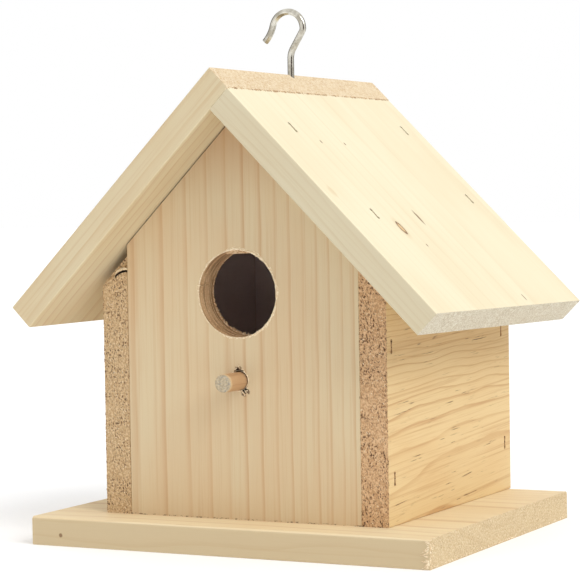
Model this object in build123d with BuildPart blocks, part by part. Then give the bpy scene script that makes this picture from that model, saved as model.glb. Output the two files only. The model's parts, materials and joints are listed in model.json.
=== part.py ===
from build123d import *
import os
from math import atan2, cos, pi, radians, sin, tan

# A hanging wooden birdhouse: floor, two gables, two side walls, a lapped
# roof, a dowel perch, a wire screw hook and a clean-out hole with a cover.
#
# Frame: millimetres, +Z up, the front faces -Y and +X is the viewer's right.
# The origin is on the underside of the floor, below the middle of the body.

os.makedirs("parts", exist_ok=True)

# ---------------------------------------------------------------- sizes
# Body, measured over the side walls
body_width = 139.7
body_depth = 139.7
wall_thickness = 12.7
back_inset = 5.8
board_arris = 0.5

# Floor board, whose rear edge is flush with the body
floor_thickness = 12.7
floor_front_overhang = 22.8
floor_left_overhang = 25.4
floor_right_overhang = 28.4
floor_arris = 1.5

# Roof: the left board laps over the ridge and the right board butts on it
ridge_height = 191.0
roof_pitch = 45.0
roof_thickness = 12.7
left_roof_length = 145.0
right_roof_length = 134.0
roof_front_overhang = 24.5
roof_arris = 0.7
eave_skew = 3.2
gable_gap = 0.5

# Side walls stop short of the roof, which leaves a vent slot
vent_gap = 4.8
side_top_round = 2.5

# Wood broken off the front end of the left wall, above this line, and a split
# below it: (right, up) from the outer top corner, the split as start, middle, end
left_tear_depth = 1.6
left_tear_line = [
    (-0.6, -1.6),
    (1.7, 0.0),
    (3.4, 1.3),
    (5.0, 1.9),
    (6.1, 2.9),
    (6.5, 4.3),
    (7.2, 5.5),
    (8.8, 6.3),
    (10.6, 6.9),
    (13.2, 6.6),
]
left_split = [(6.4, 2.4), (8.9, 4.3), (13.2, 5.0)]
left_split_width = 0.6
left_split_depth = 3.0

# Entrance and perch, in the front wall
entrance_diameter = 38.1
entrance_height = 99.0
entrance_offset = -1.3
perch_diameter = 7.94
perch_slack = 0.79
perch_hole_right = 0.2
perch_hole_rise = 0.22
perch_drop = 38.1
perch_projection = 14.5
perch_arris = 0.4

# Wood torn out of the front face round the perch, as (right, up) from its middle
perch_tear_depth = 1.3
perch_tear_top = [
    (-2.6, 3.4),
    (-2.2, 4.7),
    (-1.3, 5.0),
    (-0.5, 6.3),
    (0.3, 5.2),
    (2.4, 4.6),
    (2.6, 3.2),
]
perch_tear_foot = [
    (0.8, -3.0),
    (1.1, -4.9),
    (1.5, -6.2),
    (2.2, -5.2),
    (3.3, -5.6),
    (4.5, -4.2),
    (4.0, -3.1),
    (3.0, -1.9),
]

# Clean-out hole and its swinging cover, in the back wall
cleanout_diameter = 31.75
cleanout_height = 30.0
cover_lap = 4.0
cover_sheet = 1.0
cover_play = 0.2
pivot_rise = 27.0
pivot_boss = 8.0
screw_shank = 3.5
screw_head = 6.8
screw_head_height = 2.5
screw_length = 12.7
screw_thread_root = 2.4
screw_thread_pitch = 1.4
screw_slot_width = 0.9
screw_slot_depth = 1.1
screw_slot_turn = 28.0
screw_collar = 1.0
screw_dome_reach = 0.78
screw_dome_height = 0.62

# Hook, bent from one wire in the plane of the front
hook_wire = 3.0
hook_forward = 17.5
hook_depth = 14.5
hook_thread_root = 2.2
hook_thread_pitch = 1.3
hook_thread_length = 12.0
hook_shank = 9.9
hook_bend_height = 20.1
hook_loop_height = 21.0
hook_loop_radius = 7.7
hook_loop_offset = -1.3
hook_bend_radius = 8.5
hook_knee_radius = 3.0
hook_tip_side = 3.9
hook_tip_drop = 5.4
hook_loop_sweep = 166.0

# Staples: narrow crown, driven just below the surface
staple_crown = 5.7
staple_wire = 1.25
staple_wire_depth = 1.05
staple_leg = 25.0
staple_sink = 0.7
staple_dent = 1.9
staple_margin = 0.4

# Clearance of a turning shank in its hole, on the radius
running_clearance = 0.05

# Thread rings: where a ring starts and ends, as shares of the pitch, and the
# length of the point as a multiple of the root radius
ring_start = 0.15
ring_end = 0.85
point_taper = 3.0

# ---------------------------------------------------------------- lines
half_width = body_width / 2
half_depth = body_depth / 2
gable_half_width = half_width - wall_thickness
floor_top = floor_thickness
pitch = radians(roof_pitch)
front_inner = -half_depth + wall_thickness
back_outer = half_depth - back_inset
front_middle = -half_depth + wall_thickness / 2
back_middle = back_outer - wall_thickness / 2

# Roof section: C is the inner corner under the ridge, A the ridge and
# B the corner where the right board's outer face meets the left board's end.
down_right = Vector(cos(pitch), 0, -sin(pitch))
down_left = Vector(-cos(pitch), 0, -sin(pitch))
out_right = Vector(sin(pitch), 0, cos(pitch))
out_left = Vector(-sin(pitch), 0, cos(pitch))
ridge_inner = Vector(0, 0, ridge_height)
ridge_outer = ridge_inner + Vector(0, 0, roof_thickness / cos(pitch))
ridge_butt = ridge_inner - down_left * (roof_thickness / sin(2 * pitch))

shoulder_height = ridge_height - gable_half_width * tan(pitch)
side_top_outer = ridge_height - half_width * tan(pitch) - vent_gap
side_top_inner = side_top_outer + wall_thickness * tan(pitch)
gable_slope = gable_half_width / cos(pitch)

entrance_z = floor_top + entrance_height
perch_z = entrance_z - perch_drop
cleanout_z = floor_top + cleanout_height
pivot_z = cleanout_z + pivot_rise
cover_radius = cleanout_diameter / 2 + cover_lap
hook_y = -hook_forward

# ---------------------------------------------------------------- staples
# Where each staple is driven: the board's edge it bites into, a place along
# that edge and how far it strays from the middle of the edge, from -1 to 1.
stray_room = wall_thickness / 2 - staple_wire / 2 - staple_margin
row_middle = {"front": front_middle, "back": back_middle}

right_wall_rows = [
    ("front", 76.8, -0.30),
    ("front", 20.2, 0.04),
    ("back", 76.6, 0.37),
    ("back", 22.8, 0.98),
]
left_wall_rows = [
    ("front", 74.5, 0.10),
    ("front", 22.0, -0.25),
    ("back", 78.0, 0.45),
    ("back", 21.0, 0.20),
]
right_roof_rows = [
    ("front", 23.4, -0.60),
    ("front", gable_slope - 4.2, -0.36),
    ("back", 21.9, -0.91),
    ("back", gable_slope - 12.2, -0.90),
]
left_roof_rows = [
    ("front", 22.0, -0.20),
    ("front", gable_slope - 8.0, 0.15),
    ("back", 24.5, -0.40),
    ("back", gable_slope - 10.5, -0.10),
]
ridge_rows = [-0.82, -0.30, 0.42, 0.86]
floor_gable_places = [-0.6, 0.6]
floor_side_places = [-0.62, 0.5]


def row_y(row, stray):
    """Depth of a staple driven into the edge of the front or back panel."""
    return row_middle[row] + stray * stray_room


def wall_places(side, rows):
    """Planes on the outer face of a side wall, crowns upright."""
    return [
        Plane((side * half_width, row_y(row, stray), floor_top + height), (0, 0, 1), (side, 0, 0))
        for row, height, stray in rows
    ]


def roof_places(down, out, rows):
    """Planes on a roof board's outer face, crowns along the slope."""
    foot = ridge_inner + out * roof_thickness
    return [
        Plane(foot + down * along + Vector(0, row_y(row, stray), 0), down, out)
        for row, along, stray in rows
    ]


with BuildPart() as staple:
    crown_end = staple_crown / 2
    crown_top = -staple_sink
    leg_tip = crown_top - staple_leg
    leg_inside = crown_end - staple_wire_depth
    with BuildSketch(Plane.XZ) as staple_side:
        Polygon(
            (-crown_end, crown_top),
            (crown_end, crown_top),
            (crown_end, leg_tip + staple_wire_depth),
            (leg_inside, leg_tip),
            (leg_inside, crown_top - staple_wire_depth),
            (-leg_inside, crown_top - staple_wire_depth),
            (-leg_inside, leg_tip),
            (-crown_end, leg_tip + staple_wire_depth),
            align=None,
        )
        fillet(staple_side.vertices().group_by(Axis.Y)[-1], staple_wire_depth / 2)
    extrude(amount=staple_wire / 2, both=True)

# The dent that the driver leaves over a sunk crown, wider at its two ends
with BuildPart() as staple_pocket:
    with BuildSketch(Plane.XY.offset(crown_top - staple_wire_depth / 2)):
        Rectangle(staple_crown, staple_wire)
        with Locations((-crown_end + staple_wire / 2, 0), (crown_end - staple_wire / 2, 0)):
            Circle(staple_dent / 2)
    extrude(amount=staple_sink + staple_wire_depth)

right_wall_places = wall_places(1, right_wall_rows)
left_wall_places = wall_places(-1, left_wall_rows)
right_roof_places = roof_places(down_right, out_right, right_roof_rows)
left_roof_places = roof_places(down_left, out_left, left_roof_rows)

roof_front = -half_depth - roof_front_overhang
roof_depth = half_depth - roof_front
roof_middle = (half_depth + roof_front) / 2
ridge_line = ridge_inner + out_left * roof_thickness - down_left * (roof_thickness / 2)
ridge_places = [
    Plane(ridge_line + Vector(0, roof_middle + share * roof_depth / 2, 0), (0, 1, 0), out_left)
    for share in ridge_rows
]

wall_middle = half_width - wall_thickness / 2
floor_places = [
    Plane((share * gable_half_width, row_middle[row], 0), (1, 0, 0), (0, 0, -1))
    for row in ("front", "back")
    for share in floor_gable_places
] + [
    Plane((side * wall_middle, share * half_depth, 0), (0, 1, 0), (0, 0, -1))
    for side in (-1, 1)
    for share in floor_side_places
]

with BuildPart() as right_wall_staples:
    with Locations(*right_wall_places):
        add(staple.part)
right_wall_staples.part.label = "right_wall_staples"
export_step(right_wall_staples.part, "parts/right_wall_staples.step")

with BuildPart() as left_wall_staples:
    with Locations(*left_wall_places):
        add(staple.part)
left_wall_staples.part.label = "left_wall_staples"
export_step(left_wall_staples.part, "parts/left_wall_staples.step")

with BuildPart() as right_roof_staples:
    with Locations(*right_roof_places):
        add(staple.part)
right_roof_staples.part.label = "right_roof_staples"
export_step(right_roof_staples.part, "parts/right_roof_staples.step")

with BuildPart() as left_roof_staples:
    with Locations(*left_roof_places):
        add(staple.part)
left_roof_staples.part.label = "left_roof_staples"
export_step(left_roof_staples.part, "parts/left_roof_staples.step")

with BuildPart() as ridge_staples:
    with Locations(*ridge_places):
        add(staple.part)
ridge_staples.part.label = "ridge_staples"
export_step(ridge_staples.part, "parts/ridge_staples.step")

with BuildPart() as floor_staples:
    with Locations(*floor_places):
        add(staple.part)
floor_staples.part.label = "floor_staples"
export_step(floor_staples.part, "parts/floor_staples.step")


def cut_staples(staples, pockets=()):
    """Cut the staples, and the dents over the crowns, out of the board being built."""
    add(staples.part, mode=Mode.SUBTRACT)
    if pockets:
        with Locations(*pockets):
            add(staple_pocket.part, mode=Mode.SUBTRACT)


# ---------------------------------------------------------------- floor
with BuildPart() as floor_board:
    floor_left = -half_width - floor_left_overhang
    floor_width = body_width + floor_left_overhang + floor_right_overhang
    floor_front = -half_depth - floor_front_overhang
    floor_depth = body_depth + floor_front_overhang
    with BuildSketch(Plane((floor_left, floor_front, 0))):
        Rectangle(floor_width, floor_depth, align=(Align.MIN, Align.MIN))
    extrude(amount=floor_thickness)
    long_edges = floor_board.edges().filter_by(Axis.X)
    fillet(long_edges.group_by(Axis.Z)[-1], floor_arris)
    long_edges = floor_board.edges().filter_by(Axis.X)
    fillet(long_edges.group_by(Axis.Z)[0], board_arris)
    cut_staples(floor_staples, floor_places)
floor_board.part.label = "floor_board"
export_step(floor_board.part, "parts/floor_board.step")


# ---------------------------------------------------------------- gables
def gable_outline(rear_y):
    """Five-sided outline on a panel's rear face, a hair below the left roof board."""
    peak = (gable_gap / (2 * sin(pitch)), ridge_height - gable_gap / (2 * cos(pitch)))
    with BuildSketch(Plane.XZ.offset(-rear_y)) as outline:
        Polygon(
            (-gable_half_width, floor_top),
            (gable_half_width, floor_top),
            (gable_half_width, shoulder_height),
            peak,
            (-gable_half_width, shoulder_height - gable_gap / cos(pitch)),
            align=None,
        )
    return outline.sketch


entrance_plane = Plane((entrance_offset, -half_depth, entrance_z), (1, 0, 0), (0, -1, 0))
perch_plane = Plane((entrance_offset, -half_depth, perch_z), (1, 0, 0), (0, -1, 0))
perch_hole_plane = perch_plane.shift_origin(
    perch_plane.origin + Vector(perch_hole_right, 0, perch_hole_rise)
)

with BuildPart() as front_wall:
    extrude(gable_outline(front_inner), amount=wall_thickness)
    fillet(front_wall.edges().filter_by(Axis.Z), board_arris)
    with Locations(entrance_plane):
        Hole(radius=entrance_diameter / 2, depth=wall_thickness)
    with Locations(perch_hole_plane):
        Hole(radius=(perch_diameter + perch_slack) / 2, depth=wall_thickness)
    with BuildSketch(perch_plane):
        Polygon(*perch_tear_top, align=None)
        Polygon(*perch_tear_foot, align=None)
    extrude(amount=-perch_tear_depth, mode=Mode.SUBTRACT)
    for staples in (right_wall_staples, left_wall_staples, right_roof_staples):
        cut_staples(staples)
    for staples in (left_roof_staples, floor_staples):
        cut_staples(staples)
front_wall.part.label = "front_wall"
export_step(front_wall.part, "parts/front_wall.step")

# Clean-out screw: a round head on a wood screw, with its thread as plain rings
head_y = back_outer + 2 * cover_play + cover_sheet
screw_plane = Plane((0, head_y, pivot_z))
screw_axis = Axis((0, head_y, pivot_z), (0, 1, 0))


def ring_thread(root, crest, pitch_length, start, end):
    """Outline of a ringed thread from start down to a point at end, as (radius, height)."""
    taper = point_taper * root
    turns = int((start - end - taper) / pitch_length)
    outline = []
    for turn in range(turns):
        top = start - turn * pitch_length
        outline.append((root, top - ring_start * pitch_length))
        outline.append((crest, top - pitch_length / 2))
        outline.append((root, top - ring_end * pitch_length))
    outline.append((root, start - turns * pitch_length))
    outline.append((0, end))
    return outline


with BuildPart() as cleanout_screw:
    shank_end = -(2 * cover_play + cover_sheet) - screw_collar
    head_corner = (screw_head / 2, 0)
    head_bulge = (screw_head / 2 * screw_dome_reach, screw_head_height * screw_dome_height)
    with BuildSketch(screw_plane):
        with BuildLine():
            ThreePointArc((0, screw_head_height), head_bulge, head_corner)
            Polyline(
                head_corner,
                (screw_shank / 2, 0),
                (screw_shank / 2, shank_end),
                (screw_thread_root / 2, shank_end),
                *ring_thread(
                    screw_thread_root / 2,
                    screw_shank / 2,
                    screw_thread_pitch,
                    shank_end,
                    -screw_length,
                ),
                (0, screw_head_height),
            )
        make_face()
    revolve(axis=screw_axis)
    with BuildSketch(Plane((0, head_y + screw_head_height, pivot_z), (1, 0, 0), (0, 1, 0))):
        Rectangle(screw_head, screw_slot_width, rotation=screw_slot_turn)
    extrude(amount=-screw_slot_depth, mode=Mode.SUBTRACT)
cleanout_screw.part.label = "cleanout_screw"
export_step(cleanout_screw.part, "parts/cleanout_screw.step")

with BuildPart() as cleanout_cover:
    with BuildSketch(Plane.XZ.offset(-(back_outer + cover_play + cover_sheet))):
        with Locations((0, cleanout_z)):
            Circle(cover_radius)
        with Locations((0, pivot_z)):
            Circle(pivot_boss)
        make_hull()
        with Locations((0, pivot_z)):
            Circle(screw_shank / 2 + running_clearance, mode=Mode.SUBTRACT)
    extrude(amount=cover_sheet)
cleanout_cover.part.label = "cleanout_cover"
export_step(cleanout_cover.part, "parts/cleanout_cover.step")

with BuildPart() as back_wall:
    extrude(gable_outline(back_outer), amount=wall_thickness)
    fillet(back_wall.edges().filter_by(Axis.Z), board_arris)
    with Locations(Plane((0, back_outer, cleanout_z), (1, 0, 0), (0, 1, 0))):
        Hole(radius=cleanout_diameter / 2, depth=wall_thickness)
    add(cleanout_screw.part, mode=Mode.SUBTRACT)
    for staples in (right_wall_staples, left_wall_staples, right_roof_staples):
        cut_staples(staples)
    for staples in (left_roof_staples, floor_staples):
        cut_staples(staples)
back_wall.part.label = "back_wall"
export_step(back_wall.part, "parts/back_wall.step")


# ---------------------------------------------------------------- side walls
def side_outline(side):
    """Section of a side wall, from the floor up to a sloped top below the roof."""
    with BuildSketch(Plane.XZ.offset(-half_depth)) as profile:
        Polygon(
            (side * gable_half_width, floor_top),
            (side * half_width, floor_top),
            (side * half_width, side_top_outer),
            (side * gable_half_width, side_top_inner),
            align=None,
        )
        outer_corners = profile.vertices().group_by(Axis.X)[-1 if side > 0 else 0]
        fillet(outer_corners.sort_by(Axis.Y)[-1], side_top_round)
        outer_corners = profile.vertices().group_by(Axis.X)[-1 if side > 0 else 0]
        fillet(outer_corners.sort_by(Axis.Y)[0], board_arris)
    return profile.sketch


with BuildPart() as left_wall:
    extrude(side_outline(-1), amount=body_depth)
    cut_staples(left_wall_staples, left_wall_places)
    cut_staples(floor_staples)
    top_corner = Plane((-half_width, -half_depth, side_top_outer), (1, 0, 0), (0, -1, 0))
    tear_top = side_top_inner - side_top_outer + vent_gap
    with BuildSketch(top_corner):
        ends = (left_tear_line[-1][0], tear_top), (left_tear_line[0][0], tear_top)
        Polygon(*left_tear_line, *ends, align=None)
    extrude(amount=-left_tear_depth, mode=Mode.SUBTRACT)
    with BuildSketch(top_corner):
        with BuildLine():
            start, middle, end = left_split
            raised_middle = (middle[0], middle[1] + left_split_width)
            raised_end = (end[0], end[1] + left_split_width)
            ThreePointArc(start, middle, end)
            Line(end, raised_end)
            ThreePointArc(raised_end, raised_middle, start)
        make_face()
    extrude(amount=-left_split_depth, mode=Mode.SUBTRACT)
left_wall.part.label = "left_wall"
export_step(left_wall.part, "parts/left_wall.step")

with BuildPart() as right_wall:
    extrude(side_outline(1), amount=body_depth)
    cut_staples(right_wall_staples, right_wall_places)
    cut_staples(floor_staples)
right_wall.part.label = "right_wall"
export_step(right_wall.part, "parts/right_wall.step")


# ---------------------------------------------------------------- roof
def roof_section(*corners):
    """Section of a roof board at its rear end, flush with the back of the body."""
    with BuildSketch(Plane.XZ.offset(-half_depth)) as section:
        Polygon(*[(corner.X, corner.Z) for corner in corners], align=None)
    return section.sketch


left_eave_outer = ridge_outer + down_left * left_roof_length
left_eave_inner = left_eave_outer - out_left * roof_thickness
right_reach = right_roof_length + eave_skew
right_eave_outer = ridge_butt + down_right * right_reach
right_eave_inner = right_eave_outer - out_right * roof_thickness
hook_top = Plane((0, hook_y, ridge_outer.Z))
hook_hole_clearance = hook_wire / 2 + running_clearance

with BuildPart() as left_roof_board:
    section = roof_section(left_eave_outer, ridge_outer, ridge_butt, left_eave_inner)
    extrude(section, amount=roof_depth)
    fillet(left_roof_board.edges().filter_by(Axis((0, 0, 0), down_left)), roof_arris)
    with Locations(hook_top):
        Hole(radius=hook_hole_clearance, depth=hook_depth + running_clearance)
    cut_staples(left_roof_staples, left_roof_places)
    cut_staples(ridge_staples, ridge_places)
left_roof_board.part.label = "left_roof_board"
export_step(left_roof_board.part, "parts/left_roof_board.step")

# The right board's eave is sawn out of square: it is longest at the back
with BuildPart() as right_roof_board:
    section = roof_section(ridge_inner, ridge_butt, right_eave_outer, right_eave_inner)
    extrude(section, amount=roof_depth)
    eave_front = ridge_butt + down_right * right_roof_length + Vector(0, roof_front, 0)
    eave_normal = down_right * roof_depth - Vector(0, eave_skew, 0)
    split(bisect_by=Plane(eave_front, out_right, eave_normal), keep=Keep.BOTTOM)
    fillet(right_roof_board.edges().filter_by(Axis((0, 0, 0), down_right)), roof_arris)
    cut_staples(right_roof_staples, right_roof_places)
    cut_staples(ridge_staples)
right_roof_board.part.label = "right_roof_board"
export_step(right_roof_board.part, "parts/right_roof_board.step")

# ---------------------------------------------------------------- perch
with BuildPart() as perch:
    with BuildSketch(perch_plane.offset(-wall_thickness)):
        Circle(perch_diameter / 2)
    extrude(amount=wall_thickness + perch_projection)
    fillet(perch.edges().sort_by(Axis.Y)[0], perch_arris)
perch.part.label = "perch"
export_step(perch.part, "parts/perch.step")

# ---------------------------------------------------------------- hook
hook_plane = Plane((0, hook_y, ridge_outer.Z), (1, 0, 0), (0, -1, 0))
hook_right = hook_loop_offset + hook_loop_radius
hook_left = hook_loop_offset - hook_loop_radius
thread_top = hook_thread_length - hook_depth

# The tip leaves the loop along its tangent and bends away on one arc
loop_end = radians(hook_loop_sweep)
loop_foot = Vector(
    hook_loop_offset + hook_loop_radius * cos(loop_end),
    hook_loop_height + hook_loop_radius * sin(loop_end),
)
hook_tip = Vector(hook_left - hook_tip_side, hook_loop_height - hook_tip_drop)
tip_chord = hook_tip - loop_foot
tip_lean = atan2(-tip_chord.X, -tip_chord.Y)
tip_bow = tip_chord.length / 2 * tan((tip_lean - pi + loop_end) / 2)
tip_middle = (loop_foot + hook_tip) / 2 + Vector(cos(tip_lean), -sin(tip_lean)) * tip_bow

with BuildPart() as hanging_hook:
    with BuildLine(hook_plane) as hook_line:
        FilletPolyline(
            (0, thread_top),
            (0, hook_shank),
            (hook_right, hook_bend_height),
            (hook_right, hook_loop_height),
            radius=(hook_bend_radius, hook_knee_radius),
        )
        CenterArc((hook_loop_offset, hook_loop_height), hook_loop_radius, 0, hook_loop_sweep)
        ThreePointArc(*[(point.X, point.Y) for point in (loop_foot, tip_middle, hook_tip)])
    with BuildSketch(Plane((0, hook_y, ridge_outer.Z + thread_top))):
        Circle(hook_wire / 2)
    sweep(path=hook_line.line)
    with BuildSketch(hook_plane):
        with BuildLine():
            Polyline(
                (0, thread_top),
                (hook_thread_root / 2, thread_top),
                *ring_thread(
                    hook_thread_root / 2,
                    hook_wire / 2,
                    hook_thread_pitch,
                    thread_top,
                    -hook_depth,
                ),
                close=True,
            )
        make_face()
    revolve(axis=Axis((0, hook_y, 0), (0, 0, 1)))
hanging_hook.part.label = "hanging_hook"
export_step(hanging_hook.part, "parts/hanging_hook.step")
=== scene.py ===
# %% [markdown]
# # A hanging birdhouse in bare pine
#
# The boards, the perch, the hook and the clean-out cover come from the CAD frame, and they
# are not moved or reshaped here. This lesson gives each of them its real surface, and adds
# the small torn and splintered bits that sawing and drilling leave on cheap softwood.

# %% Load the frame
import json
import math
import random

import bmesh
import bpy
from mathutils import Matrix, Vector, noise


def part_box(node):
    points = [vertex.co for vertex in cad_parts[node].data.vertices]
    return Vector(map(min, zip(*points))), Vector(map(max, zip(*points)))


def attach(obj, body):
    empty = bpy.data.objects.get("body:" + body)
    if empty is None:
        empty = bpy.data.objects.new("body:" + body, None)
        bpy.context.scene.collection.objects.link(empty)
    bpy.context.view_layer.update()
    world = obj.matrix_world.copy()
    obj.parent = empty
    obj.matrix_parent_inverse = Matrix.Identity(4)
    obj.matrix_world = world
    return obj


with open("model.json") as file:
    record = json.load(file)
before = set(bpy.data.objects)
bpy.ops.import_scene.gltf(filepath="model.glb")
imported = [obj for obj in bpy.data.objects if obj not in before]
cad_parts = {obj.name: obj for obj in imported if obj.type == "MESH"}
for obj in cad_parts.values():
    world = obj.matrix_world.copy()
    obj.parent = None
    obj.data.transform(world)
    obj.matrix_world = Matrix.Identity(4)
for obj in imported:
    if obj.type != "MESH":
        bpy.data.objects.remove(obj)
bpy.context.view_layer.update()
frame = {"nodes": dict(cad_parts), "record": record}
nodes = frame["nodes"]
MM = 0.001

# %% [markdown]
# ## Camera
#
# A long lens from about a metre away keeps the boards' edges nearly parallel. The camera
# stands to the right of the front and a little above the middle of the house, and it is
# rolled by a degree, as a hand-held camera is. A target, a distance and three angles say all
# of that, and they are easier to reason about than a matrix.

# %% Camera
CAMERA_TARGET = Vector((-11.25, 0, 110.38)) * MM
CAMERA_DISTANCE = 1042.55 * MM
CAMERA_YAW = math.radians(27.119)
CAMERA_PITCH = math.radians(2.239)
CAMERA_ROLL = math.radians(-0.932)
CAMERA_LENS = 139.01

back = Vector((
    math.sin(CAMERA_YAW) * math.cos(CAMERA_PITCH),
    -math.cos(CAMERA_YAW) * math.cos(CAMERA_PITCH),
    math.sin(CAMERA_PITCH),
))
level_right = Vector((math.cos(CAMERA_YAW), math.sin(CAMERA_YAW), 0))
level_up = back.cross(level_right)
right = level_right * math.cos(CAMERA_ROLL) + level_up * math.sin(CAMERA_ROLL)
up = level_up * math.cos(CAMERA_ROLL) - level_right * math.sin(CAMERA_ROLL)

camera = bpy.data.objects.new("camera", bpy.data.cameras.new("camera"))
bpy.context.scene.collection.objects.link(camera)
bpy.context.scene.camera = camera
camera.data.lens = CAMERA_LENS
camera.data.clip_start = 0.05
camera.data.clip_end = 20
turn = Matrix((right, up, back)).transposed().to_4x4()
camera.matrix_world = Matrix.Translation(CAMERA_TARGET + back * CAMERA_DISTANCE) @ turn
print("camera at", [round(c, 3) for c in camera.matrix_world.translation])

# %% [markdown]
# ## Shader sums
#
# Wood is mostly arithmetic: how far is this point from the tree's middle, and which ring is
# that in? Written as nodes one by one, that takes pages. So one small class wraps a socket
# and turns Python's own operators into Math nodes, and one method makes every other node.

# %% Values and graphs
class Value:
    """One number, colour or vector in a material's graph."""

    def __init__(self, graph, socket):
        self.graph = graph
        self.socket = socket

    def sum(self, operation, *others, clamp=False):
        sockets = dict(enumerate((self, *others)))
        return self.graph.node("Math", {"operation": operation, "use_clamp": clamp}, sockets)

    def __add__(self, other):
        return self.sum("ADD", other)

    def __sub__(self, other):
        return self.sum("SUBTRACT", other)

    def __mul__(self, other):
        return self.sum("MULTIPLY", other)

    def __pow__(self, other):
        return self.sum("POWER", other)

    def __rsub__(self, other):
        return self.graph.node("Math", {"operation": "SUBTRACT"}, {0: other, 1: self})

    __radd__ = __add__
    __rmul__ = __mul__

    def __abs__(self):
        return self.sum("ABSOLUTE")

    def ramp(self, low, high):
        """0 below low, 1 above high and smooth between. Low may be the larger one."""
        settings = {"interpolation_type": "SMOOTHSTEP"}
        return self.graph.node("MapRange", settings, {0: self, 1: low, 2: high})


print("values can be added and mixed")

# %% [markdown]
# A material is a graph of nodes that ends in one surface shader. Each node type has its own
# settings and sockets, and writing them out again for every finish would hide the idea. One
# method makes any node: it takes the type, the settings and what goes into the sockets.

# %% Graphs
class Graph:
    """The node graph of one new material."""

    def __init__(self, name):
        self.material = bpy.data.materials.new(name)
        self.material.use_nodes = True
        self.tree = self.material.node_tree
        self.tree.nodes.clear()

    def node(self, kind, settings=None, sockets=None, output=0):
        """Adds a node: first its settings, then the values or links of its sockets."""
        made = self.tree.nodes.new("ShaderNode" + kind)
        for name, value in (settings or {}).items():
            setattr(made, name, value)
        for key, value in (sockets or {}).items():
            if isinstance(value, Value):
                self.tree.links.new(value.socket, made.inputs[key])
            else:
                made.inputs[key].default_value = value
        return Value(self, made.outputs[output]) if made.outputs else None

    def mix(self, factor, first, second):
        """A colour between two colours."""
        colours = {0: factor, 6: first, 7: second}
        return self.node("Mix", {"data_type": "RGBA"}, colours, output=2)

    def point(self, x, y, z):
        return self.node("CombineXYZ", None, {0: x, 1: y, 2: z})

    def noise(self, where, detail=2.0, roughness=0.5):
        """Smooth noise around a half."""
        sockets = {"Vector": where, "Scale": 1.0, "Detail": detail, "Roughness": roughness}
        return self.node("TexNoise", None, sockets)

    def surface(self, **sockets):
        """Ends the graph in one surface shader. A name's underlines stand for spaces."""
        named = {name.replace("_", " "): value for name, value in sockets.items()}
        shader = self.node("BsdfPrincipled", None, named)
        self.node("OutputMaterial", None, {0: shader})
        return self.material


print("graphs can be built")

# %% [markdown]
# Colours are easiest to choose as they look on a screen, but light adds up on a different
# scale. So a helper turns screen colours into amounts of light.

# %% Coats and colours
def coat(piece, material):
    """Gives a piece one material and nothing else."""
    piece.data.materials.clear()
    piece.data.materials.append(material)


def colour(red, green, blue):
    """A colour as seen on a screen, 0 to 255, turned into light."""
    steps = [c / 255 for c in (red, green, blue)]
    return [c / 12.92 if c < 0.04045 else ((c + 0.055) / 1.055) ** 2.4 for c in steps] + [1.0]


def place_in_scene(name, mesh):
    """An object that shows a mesh."""
    made = bpy.data.objects.new(name, mesh)
    bpy.context.scene.collection.objects.link(made)
    return made


print("middle grey is", [round(c, 3) for c in colour(128, 128, 128)])

# %% [markdown]
# ## Studio
#
# The house stands on a pale light table, whose own faint glow keeps the shadows on it weak.
# The sky is white and strongest overhead, as under a large softbox, and one broad sun from
# the right gives the roof, the right wall and the front three different strengths of light.
# A sun lights the far floor as much as the near one, so no horizon shows behind the house.
# The camera and the reflections see a plain white sky. The table lies a hair's breadth below
# the floor board, because two faces in exactly one plane fight over which one shows.

# %% Table and sun
FLOOR_SIZE = 24.0
TABLE_GAP = 0.05 * MM
TABLE_TONE = (240, 240, 240)
TABLE_GLOW = 0.12
SUN_STRENGTH = 1.6
SUN_SOFTNESS = math.radians(38)
SUN_FROM = Vector((0.74, -0.26, 0.62))

table_mesh = bpy.data.meshes.new("light_table")
half = FLOOR_SIZE / 2
corners = [(x * half, y * half, -TABLE_GAP) for x, y in ((-1, -1), (1, -1), (1, 1), (-1, 1))]
table_mesh.from_pydata(corners, [], [(0, 1, 2, 3)])
light_table = place_in_scene("light_table", table_mesh)
coat(light_table, Graph("light_table").surface(
    Base_Color=colour(*TABLE_TONE),
    Roughness=0.9,
    Emission_Color=(1, 1, 1, 1),
    Emission_Strength=TABLE_GLOW,
))

sun = place_in_scene("sun", bpy.data.lights.new("sun", "SUN"))
sun.data.energy = SUN_STRENGTH
sun.data.angle = SUN_SOFTNESS
sun.rotation_euler = SUN_FROM.to_track_quat("Z", "Y").to_euler()

print("table", FLOOR_SIZE, "m wide, sun", SUN_STRENGTH)

# %% [markdown]
# The sky is a gradient from a pale horizon to a strong zenith. It could be a picture of a
# studio, but two numbers are enough, and the Light Path node keeps it white where it is seen.

# %% Sky
SKY_ZENITH = 1.25
SKY_HORIZON = 0.28

sky = bpy.data.worlds.new("sky")
bpy.context.scene.world = sky
sky.use_nodes = True
sky_nodes = sky.node_tree.nodes
sky_links = sky.node_tree.links
direction = sky_nodes.new("ShaderNodeTexCoord")
parts = sky_nodes.new("ShaderNodeSeparateXYZ")
overhead = sky_nodes.new("ShaderNodeMapRange")
overhead.inputs["To Min"].default_value = SKY_HORIZON
overhead.inputs["To Max"].default_value = SKY_ZENITH
seen = sky_nodes.new("ShaderNodeLightPath")
plain = sky_nodes.new("ShaderNodeMath")
plain.operation = "MAXIMUM"
either = sky_nodes.new("ShaderNodeMix")
either.inputs["B"].default_value = 1.0
sky_links.new(direction.outputs["Generated"], parts.inputs["Vector"])
sky_links.new(parts.outputs["Z"], overhead.inputs["Value"])
sky_links.new(seen.outputs["Is Camera Ray"], plain.inputs[0])
sky_links.new(seen.outputs["Is Glossy Ray"], plain.inputs[1])
sky_links.new(plain.outputs["Value"], either.inputs["Factor"])
sky_links.new(overhead.outputs["Result"], either.inputs["A"])
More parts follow.
